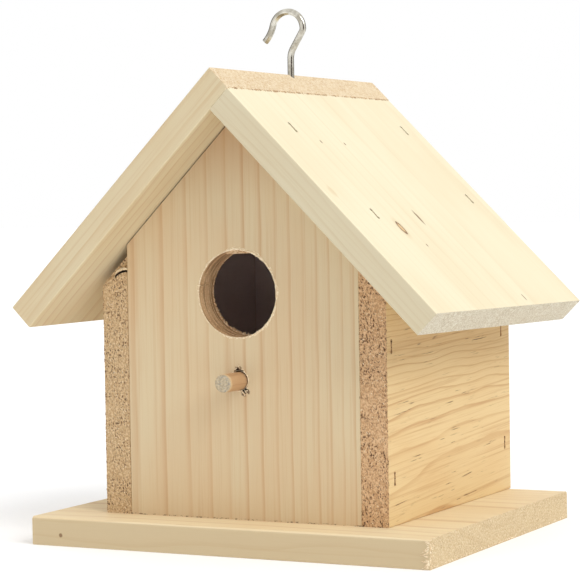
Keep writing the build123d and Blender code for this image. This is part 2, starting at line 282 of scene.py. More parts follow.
sky_links.new(either.outputs["Result"], sky_nodes["Background"].inputs["Strength"])
sky_nodes["Background"].inputs["Color"].default_value = (1, 1, 1, 1)
bpy.context.scene.view_settings.view_transform = "Standard"
print("sky", SKY_HORIZON, "to", SKY_ZENITH)

# %% [markdown]
# A bright wire in an all-white room would look white itself. The real one shows dark lines,
# because it reflects darker things: one beside the camera and one at each side behind it.
# Three tall cards do that here. Only shiny surfaces see them: they are hidden from the
# camera and cast no shadow.

# %% Cards that only reflections see
CARDS = {
    "card_front": ((0.95, -0.74, 0.25), 0.95, (60, 38, 28)),
    "card_left": ((-1.27, 0.29, 0.25), 1.15, (74, 70, 64)),
    "card_right": ((0.50, 1.20, 0.25), 1.15, (74, 70, 64)),
}
CARD_HEIGHT = 1.5

for name, (place, width, tone) in CARDS.items():
    card_mesh = bpy.data.meshes.new(name)
    x = width / 2
    y = CARD_HEIGHT / 2
    card_mesh.from_pydata([(-x, -y, 0), (x, -y, 0), (x, y, 0), (-x, y, 0)], [], [(0, 1, 2, 3)])
    card = place_in_scene(name, card_mesh)
    card.location = place
    card.rotation_euler = (-Vector(place)).to_track_quat("Z", "Y").to_euler()
    coat(card, Graph(name).surface(Base_Color=colour(*tone), Roughness=1.0))
    card.visible_camera = False
    card.visible_diffuse = False
    card.visible_shadow = False
    card.visible_transmission = False
print("cards:", ", ".join(CARDS))

# %% [markdown]
# ## Pine
#
# A board is a slice of a tree. If the shader knows where the middle of the tree was, the
# same rings give lines along a face, arcs on a sawn end and flames where a face runs nearly
# along a ring. A tree adds about the same area of wood each year, so its rings get narrower
# outwards: the number of years at a place is its distance from the pith, squared, over a
# growth. Every board gets its own pith, growth and tones. Nothing is painted on face by face
# but a painted shade on the sawn edges of the floor and roof boards. Small noise bends the
# rings, and a knot pushes them aside.

# %% Where a point lies in a board
class Board(Graph):
    """The graph of one board, with its own directions: u with the grain, v across, w through."""

    def __init__(self, name, grain, across, through, seed):
        super().__init__(name)
        self.place = self.node("TexCoord", output=3)
        self.facing = self.node("TexCoord", output=1)
        self.grain = grain
        self.seed = seed
        self.u = self.along(grain, self.place, 1 / MM)
        self.v = self.along(across, self.place, 1 / MM)
        self.w = self.along(through, self.place, 1 / MM)
        self.sawn_end = abs(self.along(grain, self.facing)).ramp(0.5, 0.85)
        self.sawn_edge = abs(self.along(across, self.facing)).ramp(0.75, 0.95)

    def along(self, direction, vector, scale=1.0):
        """How far a vector goes in a direction."""
        arrow = [c * scale for c in direction]
        return self.node("VectorMath", {"operation": "DOT_PRODUCT"}, {0: vector, 1: arrow}, output=1)

    def cloud(self, long, wide, shift=0.0, detail=2.0, roughness=0.5):
        """Noise whose patches are about long mm with the grain and wide mm across it."""
        where = self.point(self.u * (1 / long) + (self.seed + shift), self.v * (1 / wide),
                           self.w * (1 / wide) + shift)
        return self.noise(where, detail, roughness)

    def near(self, u, v, long, wide, edge=False):
        """1 at the rim of an oval around (u, v), less inside it. On an edge, v is through."""
        rough = (self.cloud(1.6, 0.9, 5.0) - 0.5) * 0.5
        ahead = (self.u - u) * (1 / long)
        aside = ((self.w if edge else self.v) - v) * (1 / wide)
        return (ahead * ahead + aside * aside) ** 0.5 + rough


print("boards can be measured")

# %% [markdown]
# ## Rings, fibres, knots and sawn ends
#
# Within a year the wood starts pale and ends in a dark line of dense latewood, which stops
# sharply when growth stops for the winter. So a year is a saw-tooth, not a wave: the whole
# part of the count says which year it is, and the rest says how far on its season is. Each
# year draws its own weight of line from a noise. The wood round a knot pushes the rings
# aside.

# %% Years
def years_of(g, pith, growth, phase, bend, knots):
    """How many years old the tree was when it made the wood at a point."""
    sway = (g.cloud(150, 60, 1.0) - 0.5) * bend[0]
    wander = (g.cloud(40, 9, 2.0) - 0.5) * bend[1]
    aside = g.v - pith[0] + sway + wander
    deep = g.w - pith[1] + sway * 0.4
    for u, v, long, wide, kind in knots:
        if kind == "knot":
            push = g.near(u, v, long * 2.4, wide * 2.4).ramp(1.6, 0.2)
            aside = aside + push * (g.v - v).sum("SIGN") * 1.6
    return (aside * aside + deep * deep) * (1 / growth) + phase


def year_lines(g, years, lines, bold):
    """The dark line that ends each year, and the slow darkening of its summer."""
    season = years.sum("FRACT")
    year = years.sum("FLOOR")
    line = season.ramp(0.72, 0.97) * season.ramp(1.0, 0.975)
    weight = g.noise(g.point(year * 3.73 + g.seed, 0.0, 0.0)).ramp(0.28, 0.68) * 0.7 + 0.3
    if bold:
        weight = weight + abs(year - bold[0]).ramp(bold[1], 0.0) * bold[2]
    strength = g.sawn_edge * max(0.6 - lines, 0.0) + lines
    line = line * weight * (g.cloud(60, 5, 6.0).ramp(0.2, 0.6) * 0.5 + 0.5) * strength
    return line, season * season * 0.34 * lines


print("years can be counted")

# %% [markdown]
# Sawn along the grain, the wood shows the year lines with pale and dark fibres between them.
# Two noises stretched along the grain give the broad strands and the hairs. Some boards also
# have short dark flecks where resin canals were cut open.

# %% Side grain
def side_grain(g, face, line, summer, strand, hair, fibres):
    """The tone of a face sawn along the grain. Face is (pale, warm, line) tones."""
    pale, warm, dark = (colour(*tone) for tone in face)
    patch = g.cloud(70, 26, 7.0)
    tone = g.mix(summer + patch.ramp(0.38, 0.7) * 0.45, pale, warm)
    tone = g.mix(line * 0.75, tone, dark)
    plenty = g.sawn_edge * max(1.4 - fibres, 0.0) + fibres
    tone = g.mix(strand.ramp(0.5, 0.72) * plenty * 0.26, tone, dark)
    tone = g.mix(hair.ramp(0.5, 0.8) * 0.16 * fibres, tone, dark)
    return g.mix(hair.ramp(0.45, 0.2) * 0.25 * fibres, tone, pale)


def resin_flecks(g, flecks):
    """1 in short dark dashes that lie with the grain, in loose crowds."""
    where = g.cloud(15, 0.8, 8.0, 2.0, 0.6)
    crowd = g.cloud(30, 14, 9.0).ramp(0.42, 0.62)
    return where.ramp(0.62, 0.74) * crowd * flecks


print("side grain ready")

# %% [markdown]
# Sawn across, the wood shows the open ends of its fibres: a gritty surface with dark pits
# that stand in slanting rows. The year lines cross it too, but only faintly.

# %% End grain
def end_grain(g, end, line, summer, grit, pits):
    """The tone of a sawn end and its pits. End is (pale, dark, pit) tones."""
    where = g.point(g.u * 0.6, g.v * 0.82 + g.seed, g.w * 1.5 + g.v * 0.35)
    pores = g.noise(where, 2.0, 0.6)
    where = g.point(g.u * 0.1, g.v * 0.11 + g.seed, g.w * 0.11)
    crowd = g.noise(where, 2.0, 0.6).ramp(0.35, 0.62)
    pit = pores.ramp(0.53, 0.62) * (crowd * 0.75 + 0.25) * (pits * 0.66)
    end_pale, end_dark, end_pit = (colour(*tone) for tone in end)
    cut = g.mix(grit.ramp(0.36, 0.64), end_dark, end_pale)
    cut = g.mix(line * 0.5 + summer * 0.5, cut, end_dark)
    return g.mix(pit, cut, end_pit), pit


print("end grain ready")

# %% [markdown]
# A knot is the root of a branch: a dark ring of bark round a middle that is warmer than the
# board, and a shade round it. Resin streaks, small dots and stains are simpler ovals. Each
# is placed at a given point of its board, because no noise would put one there.

# %% Knots, streaks, stains and dots
KNOT_MIDDLE = (206, 168, 118)
KNOT_RING = (104, 66, 40)
STREAK_TONE = (122, 86, 56)
DOT_TONE = (120, 84, 54)


def spots(g, tone, knots, dark):
    """Paints each (u, v, long, wide, kind) on a tone and says where it is hollow."""
    hollow = 0.0
    for u, v, long, wide, kind in knots:
        rim = g.near(u, v, long, wide, kind == "pin")
        if kind == "knot":
            ring = rim.ramp(1.3, 1.05) * rim.ramp(0.62, 0.9)
            tone = g.mix(rim.ramp(2.6, 0.9) * 0.4, tone, dark)
            tone = g.mix(rim.ramp(1.1, 0.8) * 0.7, tone, colour(*KNOT_MIDDLE))
            tone = g.mix(ring * 0.85, tone, colour(*KNOT_RING))
            hollow = hollow + ring
        elif kind == "streak":
            tone = g.mix(rim.ramp(1.3, 0.6) * 0.8, tone, colour(*STREAK_TONE))
            hollow = hollow + rim.ramp(1.1, 0.6)
        elif kind == "stain":
            tone = g.mix(rim.ramp(1.5, 0.5) * 0.4, tone, dark)
        else:
            tone = g.mix(rim.ramp(1.3, 0.7) * 0.8, tone, colour(*DOT_TONE))
    return tone, hollow


print("knots ready")

# %% [markdown]
# Now the parts come together in one finish that every board and the perch share. The inside
# of the nest gets painted light: a very pale tone that brightens it, because only weak light
# reaches it. The bump makes the grain and the pits catch the light as well as change colour.

# %% The pine finish
INSIDE_PAINTED_LIGHT = (255, 239, 233)


def pine(name, grain, across, through, seed, pith, growth, phase, bend, face, end,
         lines=1.0, fibres=1.0, flecks=0.0, pits=1.0, edge=0.0, bold=None, knots=(), inside=None,
         marks_on=None):
    """Bare pine. Face is (pale, warm, line) tones and end is (pale, dark, pit) tones."""
    g = Board(name, grain, across, through, seed)
    years = years_of(g, pith, growth, phase, bend, knots)
    line, summer = year_lines(g, years, lines, bold)
    strand = g.cloud(130, 1.5, 3.0, 3.0, 0.6)
    hair = g.cloud(26, 0.42, 4.0, 2.0, 0.6)
    tone = side_grain(g, face, line, summer, strand, hair, fibres)
    marks = 0.0
    if flecks:
        marks = resin_flecks(g, flecks)
        tone = g.mix(marks, tone, colour(*[c * 0.66 for c in face[2]]))
    # Painted shade: the faces along a board's width, its sawn edges, are darkened by the edge amount,
    # so they look less lit than its broad faces.
    tone = g.mix(g.sawn_edge * edge, tone, colour(*[c * 0.86 for c in face[1]]))

    grit = g.noise(g.point(g.u * 1.1, g.v * 1.15 + seed, g.w * 1.15), 3.0, 0.65)
    cut, pit = end_grain(g, end, line, summer, grit, pits)
    tone = g.mix(g.sawn_end, tone, cut)
    tone, hollow = spots(g, tone, knots, colour(*face[2]))
    if marks_on:
        for mask, mark in marks_on(g):
            tone = g.mix(mask, tone, colour(*mark))
    # Painted light: the nest's inner faces are mixed towards a very pale tone, to brighten them.
    if inside:
        tone = g.mix(inside(g), tone, colour(*INSIDE_PAINTED_LIGHT))

    relief = hair * 0.22 + strand * 0.18 - line * 0.12 - marks * 0.5 - hollow * 0.8
    relief = relief + g.sawn_end * (grit * 1.3 - pit * 1.5)
    bump = g.node("Bump", None, {"Strength": 0.5, "Distance": 0.3 * MM, "Height": relief})
    rough = 0.6 + g.sawn_end * 0.2 + hair * 0.08
    return g.surface(Base_Color=tone, Roughness=rough, Normal=bump, Specular_IOR_Level=0.35)


print("pine can be mixed")

# %% [markdown]
# ## Seven boards
#
# The front is cut close to the tree's radius, so its lines run straight up and get closer
# to the right. The side walls lie with their grain nearly level, cut flat from the tree, so
# their rings make long slow curves with short dark flecks. The roof boards run down the
# slope and are the palest. Directions along the slope and the nest's inner faces are worked
# out once, from the boards' own boxes.

# %% Directions and inside faces
slope = math.sqrt(0.5)
DOWN_RIGHT = (slope, 0, -slope)
OUT_RIGHT = (slope, 0, slope)
DOWN_LEFT = (-slope, 0, -slope)
OUT_LEFT = (-slope, 0, slope)
X, Y, Z = (1, 0, 0), (0, 1, 0), (0, 0, 1)
tilt = math.radians(2.5)
RISING = (0, math.cos(tilt), math.sin(tilt))
ACROSS_RISING = (0, -math.sin(tilt), math.cos(tilt))
BOARD = 12.7
PEAK = 191.0
OUTER_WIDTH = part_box("right_wall")[1][0] / MM
INNER_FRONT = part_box("front_wall")[1][1] / MM
INNER_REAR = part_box("back_wall")[0][1] / MM
FLOOR_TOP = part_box("floor_board")[1][2] / MM


def nest_painted_light_mask(g):
    """1 on faces that close the nest in, where the pale painted light goes, 0 on outside faces."""
    x = g.along(X, g.place, 1 / MM)
    y = g.along(Y, g.place, 1 / MM)
    z = g.along(Z, g.place, 1 / MM)
    aside = abs(x).ramp(OUTER_WIDTH - 0.3, OUTER_WIDTH - 0.8)
    level = z.ramp(FLOOR_TOP - 0.4, FLOOR_TOP - 0.1)
    ahead = y.ramp(INNER_FRONT - 0.3, INNER_FRONT - 0.1)
    behind = y.ramp(INNER_REAR + 0.3, INNER_REAR + 0.1)
    upper = (abs(x) + z).ramp(PEAK + 0.6, PEAK + 0.2)
    return aside * level * ahead * behind * upper


print("nest from", round(INNER_FRONT, 1), "to", round(INNER_REAR, 1), "mm")

# %% [markdown]
# Some places need a tone of their own: the wall of the entrance with its saw rings, painted
# shade in and round the tears by the perch, dark specks along the front's foot, painted shade
# at the front's peak under the roof, and the split in the left wall's end with its painted
# shade and painted highlight. Each mark is a mask and a tone, and a function hands them over
# one by one, so the shared pine finish doesn't have to know about any of them.

# %% Marks, painted shade and a painted highlight on the front and the left wall
entrance = next(m for m in frame["record"]["mounts"] if m["name"] == "entrance")
HOLE = {
    "x": entrance["pos_m"][0] / MM,
    "z": entrance["pos_m"][2] / MM,
    "radius": entrance["dims"]["r_mm"],
}
TEAR_HOLLOW_SHADE = ((-0.1, 79.0, 2.9), (2.4, 69.3, 3.2))
SPLIT = (-57.6, 113.6, 8.0)


def from_axis(g, x, z):
    """Distance in mm from a line through (x, z) that runs front to back."""
    aside = g.along(X, g.place, 1 / MM) - x
    level = g.along(Z, g.place, 1 / MM) - z
    return (aside * aside + level * level) ** 0.5


def front_marks_and_shade(g):
    """The entrance's wall, painted shade in and round the tears, dark specks at the foot and painted
    shade at the peak.
    """
    y = g.along(Y, g.place, 1 / MM)
    z = g.along(Z, g.place, 1 / MM)
    radius = HOLE["radius"]
    bore = from_axis(g, HOLE["x"], HOLE["z"]).ramp(radius + 0.12, radius + 0.02)
    rings = g.noise(g.point(y * 1.4, g.u * 0.05, g.v * 0.05), 3.0, 0.7)
    yield bore * 0.75, (222, 180, 134)
    yield bore * rings.ramp(0.48, 0.6) * 0.75, (126, 90, 58)
    # Painted shade: the floors of the tears by the perch are painted dark, and noisy patches round them
    # are painted darker as shadow.
    deep = y.ramp(-69.7, -69.3)
    for x, level, radius in TEAR_HOLLOW_SHADE:
        yield deep * from_axis(g, x, level).ramp(radius + 0.9, radius - 0.2) * 0.95, (58, 38, 26)
    tear_shade_noise = g.noise(g.point(g.v * 0.75, g.w, z * 0.75), 2.0, 0.5).ramp(0.47, 0.53)
    yield from_axis(g, 1.7, 69.3).ramp(2.9, 1.9) * tear_shade_noise * 0.85, (84, 56, 36)
    yield from_axis(g, -1.4, 79.3).ramp(2.0, 1.2) * tear_shade_noise * 0.7, (104, 72, 46)
    # Painted shade: the top of the front, under the roof, is darkened towards brown.
    yield z.ramp(148, 186) * 0.42, (178, 124, 82)
    # Dark specks along the foot of the front, next to the floor.
    foot_specks = g.noise(g.point(g.v * 0.7, z * 1.2, 3.0), 2.0, 0.6).ramp(0.52, 0.6)
    yield z.ramp(13.5, 12.9) * foot_specks * 0.8, (96, 66, 44)


def split_shade_and_highlight(g):
    """Painted shade in the curved split and past its rim, and a painted highlight on its lip."""
    y = g.along(Y, g.place, 1 / MM)
    x, level, radius = SPLIT
    # Painted shade: a dark band along the curved split.
    split_shade = abs(from_axis(g, x, level) - radius).ramp(0.62, 0.36)
    aside = g.along(X, g.place, 1 / MM).ramp(-64.0, -63.2)
    upper = g.along(Z, g.place, 1 / MM).ramp(117.8, 118.6)
    front = y.ramp(-66.0, -66.6)
    yield split_shade * aside * upper * front * 0.95, (38, 26, 20)
    # Painted shade on the end grain past the split.
    shade_past_split = from_axis(g, x, level).ramp(radius + 0.9, radius + 2.2)
    yield shade_past_split * upper * y.ramp(-69.0, -69.8) * 0.65, (134, 96, 62)
    # Painted highlight: a pale line along the split's lip.
    rim = abs(from_axis(g, x, level) - radius - 1.2).ramp(0.7, 0.3)
    yield rim * aside * upper * y.ramp(-69.5, -69.8) * 0.7, (240, 220, 184)


print("entrance", HOLE)

# %% [markdown]
# Every board now gets its pine. The first numbers say where the tree's middle was and how
# wide its rings are. Then come three tones for the faces and three for the sawn ends.

# %% The boards' finishes
coat(nodes["front_wall"], pine(
    "pine_front", Z, X, Y, 1.3, (-103, -63), 1733, 0.53, (3.0, 1.2),
    ((216, 197, 161), (213, 183, 143), (188, 141, 96)),
    ((192, 160, 122), (160, 124, 88), (120, 88, 60)),
    lines=0.62, fibres=0.95, bold=(6.5, 1.2, 0.7), inside=nest_painted_light_mask, marks_on=front_marks_and_shade,
))
coat(nodes["back_wall"], pine(
    "pine_back", Z, X, Y, 8.1, (-60, 75), 900, 0.2, (10, 2.0),
    ((214, 194, 154), (208, 178, 134), (176, 134, 90)),
    ((192, 160, 122), (160, 124, 88), (120, 88, 60)),
    inside=nest_painted_light_mask,
))
coat(nodes["right_wall"], pine(
    "pine_right", RISING, ACROSS_RISING, X, 4.4, (14, 32), 500, 0.1, (20, 3.0),
    ((221, 194, 144), (213, 179, 127), (180, 130, 80)),
    ((226, 190, 148), (190, 148, 106), (96, 66, 44)),
    lines=0.85, fibres=1.7, flecks=1.0, pits=1.5, inside=nest_painted_light_mask,
))
coat(nodes["left_wall"], pine(
    "pine_left", Y, Z, X, 5.9, (70, 48), 700, 0.4, (14, 3.0),
    ((216, 192, 146), (210, 180, 132), (172, 132, 88)),
    ((222, 195, 155), (188, 154, 112), (92, 65, 42)),
    flecks=0.4, pits=1.5, inside=nest_painted_light_mask, marks_on=split_shade_and_highlight,
))
coat(nodes["floor_board"], pine(
    "pine_floor", X, Y, Z, 2.2, (-20, 70), 1100, 0.3, (16, 3.0),
    ((231, 213, 176), (226, 202, 160), (196, 158, 114)),
    ((218, 200, 164), (196, 170, 130), (150, 116, 80)),
    lines=0.7, pits=0.7, edge=0.75, inside=nest_painted_light_mask,
    knots=((-80.3, 4.9, 0.9, 0.9, "pin"),),
))
coat(nodes["left_roof_board"], pine(
    "pine_left_roof", DOWN_LEFT, Y, OUT_LEFT, 6.3, (20, 60), 1400, 0.2, (20, 3.0),
    ((222, 208, 174), (214, 188, 146), (196, 158, 116)),
    ((224, 208, 180), (208, 184, 146), (186, 144, 98)),
    lines=0.6, fibres=0.8, pits=0.8, edge=0.25, inside=nest_painted_light_mask,
))
coat(nodes["right_roof_board"], pine(
    "pine_right_roof", DOWN_RIGHT, Y, OUT_RIGHT, 3.1, (40, 20), 1500, 0.6, (16, 3.0),
    ((227, 217, 187), (221, 205, 171), (202, 176, 134)),
    ((224, 219, 202), (198, 186, 161), (168, 152, 124)),
    lines=0.22, fibres=0.35, pits=0.8, edge=0.45, inside=nest_painted_light_mask,
    knots=(
        (-49.5, -52.0, 3.3, 1.7, "knot"),
        (-55.4, -24.4, 4.4, 1.0, "streak"),
        (-103.0, -51.8, 1.0, 0.6, "dot"),
        (-102.0, -29.3, 0.9, 0.6, "dot"),
        (-38.6, -42.5, 0.8, 0.5, "dot"),
        (-72.2, -86.3, 3.0, 2.0, "stain"),
        (-3.9, 8.2, 2.0, 0.5, "dot"),
    ),
))
print("boards coated:", sum("pine" in m.name for m in bpy.data.materials))

# %% [markdown]
# ## Perch, wire and metal
#
# The perch is a short length of dowel: close-grained, warmer than the boards and cut off
# with a fuzzy grey end. It is pine too, so it uses the same finish with other numbers, and
# one painted highlight, a pale band along the rim of its end.

# %% Dowel
PERCH_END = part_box("perch")[0][1] / MM


def dowel_rim_highlight(g):
    """A painted highlight: a pale band round the rim of the sawn end."""
    y = g.along(Y, g.place, 1 / MM)
    rim_waver = (g.cloud(2.0, 2.0, 1.0) - 0.5) * 1.6
    yield (y + rim_waver).ramp(PERCH_END + 2.1, PERCH_END + 0.7) * (1.0 - g.sawn_end) * 0.75, (216, 192, 152)


coat(nodes["perch"], pine(
    "dowel", Y, X, Z, 9.7, (-12, 40), 260, 0.0, (1.5, 0.6),
    ((197, 161, 121), (193, 150, 109), (158, 112, 74)),
    ((202, 187, 158), (177, 160, 134), (132, 138, 142)),
    lines=0.6, fibres=1.3, pits=0.7, marks_on=dowel_rim_highlight,
))


print("perch ends at", round(PERCH_END, 2), "mm")

# %% [markdown]
# The hook is zinc-plated wire, bright but specked. The staples are plain steel that has
# browned, and the clean-out cover is galvanised sheet with cloudy patches. One finish serves
# all of them: two noises, one for clouds and one for specks, change tone and roughness.

# %% Metal
def metal(name, bright, dull, roughness, speck, metallic=1.0, grime=0.3):
    """Plated metal with cloudy patches and fine dark specks of a few tenths of a mm."""
    g = Graph(name)
    place = g.node("TexCoord", output=3)
    spread = g.node("VectorMath", {"operation": "SCALE"}, {0: place, "Scale": 1 / speck / MM})
    cloud = g.node("VectorMath", {"operation": "SCALE"}, {0: place, "Scale": 1 / 3.5 / MM})
    specks = g.noise(spread, 3.0, 0.6)
    clouds = g.noise(cloud, 2.0, 0.5)
    tone = g.mix(clouds.ramp(0.35, 0.65), colour(*bright), colour(*dull))
    tone = g.mix(specks.ramp(0.55, 0.75) * grime, tone, colour(*[c * 0.45 for c in dull]))
    rough = roughness + clouds * 0.12 + specks.ramp(0.5, 0.75) * 0.15
    bump = g.node("Bump", None, {"Strength": 0.25, "Distance": 0.08 * MM, "Height": specks})
    return g.surface(Base_Color=tone, Roughness=rough, Metallic=metallic, Normal=bump)


zinc_wire = metal("zinc_wire", (220, 216, 204), (176, 170, 156), 0.12, 0.5, grime=0.4)
galvanised_sheet = metal("galvanised_sheet", (196, 198, 198), (164, 167, 169), 0.3, 1.2)
screw_steel = metal("screw_steel", (170, 165, 150), (130, 124, 110), 0.28, 0.5)
staple_look = metal("staple_steel", (112, 88, 66), (74, 54, 38), 0.45, 0.5, 0.7, 0.6)
coat(nodes["hanging_hook"], zinc_wire)
coat(nodes["cleanout_cover"], galvanised_sheet)
coat(nodes["cleanout_screw"], screw_steel)
staple_sets = [name for name in nodes if name.endswith("_staples")]
for name in staple_sets:
    coat(nodes[name], staple_look)
print("staples:", ", ".join(staple_sets))

# %% [markdown]
# ## Small torn pieces
#
# A drill and a coarse saw leave raised burrs, slivers and fuzz on soft pine, and those catch
# the light along every rim. They are far smaller than the boards, so they are meshes of
# their own that stand on the boards. A sliver is a thin four-sided spike that curls up
# towards its tip. Every one is closed, and a seeded generator makes the same ones each time.

# %% Slivers
SLIVER_STEPS = ((0.0, 1.0), (0.3, 0.9), (0.65, 0.55), (0.9, 0.2))
CORNERS = ((-1, -1), (1, -1), (1, 1), (-1, 1))


def sliver(mesh, root, tip, out, width, thick, curl=0.0):
    """Adds one tapered splinter, sizes in mm, that curls towards out."""
    root = Vector(root) * MM
    ahead = Vector(tip) * MM - root
    out = Vector(out).normalized()
    side = ahead.cross(out).normalized()
    rings = []
    for share, size in SLIVER_STEPS:
        middle = root + ahead * share + out * (curl * MM * share * share)
        across = side * (width * MM * size / 2)
        through = out * (thick * MM * size / 2)
        rings.append([mesh.verts.new(middle + across * a + through * b) for a, b in CORNERS])
    point = mesh.verts.new(root + ahead + out * (curl * MM))
    mesh.faces.new(rings[0][::-1])
    for near, far in zip(rings, rings[1:]):
        for i in range(4):
            j = (i + 1) % 4
            mesh.faces.new((near[i], near[j], far[j], far[i]))
    for i in range(4):
        mesh.faces.new((rings[-1][i], rings[-1][(i + 1) % 4], point))


def loop_strip(mesh, loops, closed):
    """Skins a row of equal point loops, in mm. A closed row ends where it starts."""
    made = [[mesh.verts.new(Vector(point) * MM) for point in loop] for loop in loops]
    count = len(made[0])
    following = made[1:] + made[:1] if closed else made[1:]
    for near, far in zip(made, following):
        for i in range(count):
            j = (i + 1) % count
            mesh.faces.new((near[i], near[j], far[j], far[i]))
    if not closed:
        mesh.faces.new(made[0][::-1])
        mesh.faces.new(made[-1])


def wooden(mesh, name, finish):
    """Makes a wooden piece that moves with the house."""
    bmesh.ops.recalc_face_normals(mesh, faces=mesh.faces)
    data = bpy.data.meshes.new(name)
    mesh.to_mesh(data)
    mesh.free()
    piece = place_in_scene(name, data)
    coat(piece, finish)
    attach(piece, "house")
    print(name, len(data.polygons), "faces")


print("slivers, strips and wooden pieces can be made")

# %% [markdown]
# A fresh tear is paler than the face round it, with a darker root, so the slivers share one
# finish of short pale streaks. The saw's fuzz on the end grain is darker and has its own.

# %% Finishes of torn wood
def torn_wood(name, pale, dark, seed):
    """Raw fibres: fine streaks of a pale and a dark tone, in patches."""
    g = Graph(name)
    place = g.node("TexCoord", output=3)
    fine = g.node("VectorMath", {"operation": "SCALE"}, {0: place, "Scale": 1 / 0.7 / MM})
    wide = g.node("VectorMath", {"operation": "SCALE"}, {0: place, "Scale": 1 / 2.5 / MM})
    streak = g.noise(fine, 3.0, 0.65)
    patch = g.noise(wide, 2.0 + seed * 0.1, 0.5)
    tone = g.mix(streak.ramp(0.4, 0.62), colour(*dark), colour(*pale))
    tone = g.mix(patch.ramp(0.5, 0.72) * 0.5, tone, colour(*dark))
    bump = g.node("Bump", None, {"Strength": 0.4, "Distance": 0.1 * MM, "Height": streak})
    return g.surface(Base_Color=tone, Roughness=patch * 0.1 + 0.65, Normal=bump)


fresh_tear = torn_wood("fresh_tear", (246, 231, 202), (218, 192, 152), 1)
drilled_wood = torn_wood("drilled_wood", (232, 204, 164), (176, 138, 96), 2)
old_fuzz = torn_wood("old_fuzz", (214, 180, 134), (128, 90, 58), 3)
print("torn finishes:", fresh_tear.name, drilled_wood.name, old_fuzz.name)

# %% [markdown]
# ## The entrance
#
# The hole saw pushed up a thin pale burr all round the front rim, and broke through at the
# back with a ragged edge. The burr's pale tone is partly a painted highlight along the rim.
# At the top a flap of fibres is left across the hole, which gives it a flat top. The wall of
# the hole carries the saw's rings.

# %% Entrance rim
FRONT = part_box("front_wall")[0][1] / MM
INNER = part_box("front_wall")[1][1] / MM


def on_circle(circle, angle, radius, y):
    """A point at an angle round a circle on the front, sizes in mm."""
    return (circle["x"] + radius * math.cos(angle), y, circle["z"] + radius * math.sin(angle))


def uneven(angle, pace, seed):
    """Smooth noise round a circle, about -1 to 1."""
    return noise.noise(Vector((math.cos(angle) * pace, math.sin(angle) * pace, seed)))


def rim_burr_and_highlight(name, circle, steps, width, height, gaps=()):
    """A raised pale lip round a drilled hole on the front face, its pale tone partly a painted
    highlight along the rim.
    """
    mesh = bmesh.new()
    loops = []
    for step in range(steps):
        angle = 2 * math.pi * step / steps
        size = 0.75 + 0.9 * uneven(angle, 4.0, 1.7) + 0.5 * uneven(angle, 15.0, 5.2)
        size = max(size, 0.2)
        for start, end in gaps:
            if start < math.degrees(angle) % 360 < end:
                size = 0.12
        radius = circle["radius"]
        lip = height * size
        loops.append((
            on_circle(circle, angle, radius + 0.02, FRONT + 0.35),
            on_circle(circle, angle, radius - 0.06 * size, FRONT - lip * 0.6),
            on_circle(circle, angle, radius + width * 0.35 * size, FRONT - lip),
            on_circle(circle, angle, radius + width * size, FRONT + 0.04),
        ))
    loop_strip(mesh, loops, True)
    wooden(mesh, name, fresh_tear)


rim_burr_and_highlight("entrance_burr_and_highlight", HOLE, 260, 1.15, 0.42)

# %% [markdown]
# At the back the saw broke through, so the edge there is ragged, most of all at the lower
# left and on the right. A closed strip with a different reach at each step does that.

# %% Ragged back edge
rng = random.Random(11)
mesh = bmesh.new()
loops = []
FRINGE_STEPS = 300
for step in range(FRINGE_STEPS):
    angle = 2 * math.pi * step / FRINGE_STEPS
    ragged = 0.35 + 0.35 * abs(uneven(angle, 6.0, 3.1))
    low_left = math.cos(angle - math.radians(232))
    right_side = math.cos(angle - math.radians(-8))
    ragged = ragged + max(0.0, low_left - 0.6) * 2.4 + max(0.0, right_side - 0.4) * 1.3
    reach = ragged * rng.uniform(0.15, 1.0)
    loops.append((
        on_circle(HOLE, angle, HOLE["radius"] + 0.3, INNER - 0.5),
        on_circle(HOLE, angle, HOLE["radius"] - reach, INNER - 0.25 - 0.1 * rng.random()),
        on_circle(HOLE, angle, HOLE["radius"] - reach, INNER + 0.12),
        on_circle(HOLE, angle, HOLE["radius"] + 0.3, INNER + 0.2),
    ))
loop_strip(mesh, loops, True)
wooden(mesh, "entrance_back_edge", drilled_wood)

# %% [markdown]
# The flap is a thin wedge of fibres across the top of the hole. Its lower edge is nearly
# straight, with a small waver from noise.

# %% Flap across the top
FLAP_LEFT = -7.0
FLAP_RIGHT = 7.8
FLAP_STEPS = 36
mesh = bmesh.new()
loops = []
for step in range(FLAP_STEPS + 1):
    share = step / FLAP_STEPS
    x = FLAP_LEFT + (FLAP_RIGHT - FLAP_LEFT) * share
    top = HOLE["z"] + math.sqrt((HOLE["radius"] + 0.25) ** 2 - (x - HOLE["x"]) ** 2)
    edge = 128.95 + 0.5 * share + 0.22 * noise.noise(Vector((x * 0.9, 2.0, 0.0)))
    edge = min(edge, top - 0.15)
    near = FRONT + 0.7 + 0.15 * noise.noise(Vector((x * 0.5, 7.0, 0.0)))
    loops.append(((x, near, top), (x, near, edge + 0.15), (x, near + 0.2, edge), (x, near + 0.9, top)))
loop_strip(mesh, loops, False)
wooden(mesh, "entrance_flap", drilled_wood)

# %% [markdown]
# The saw's teeth left shallow rings on the wall of the hole. Each is a low ridge, built as a
# strip of triangles along part of a circle. One splinter lies across them on the left.

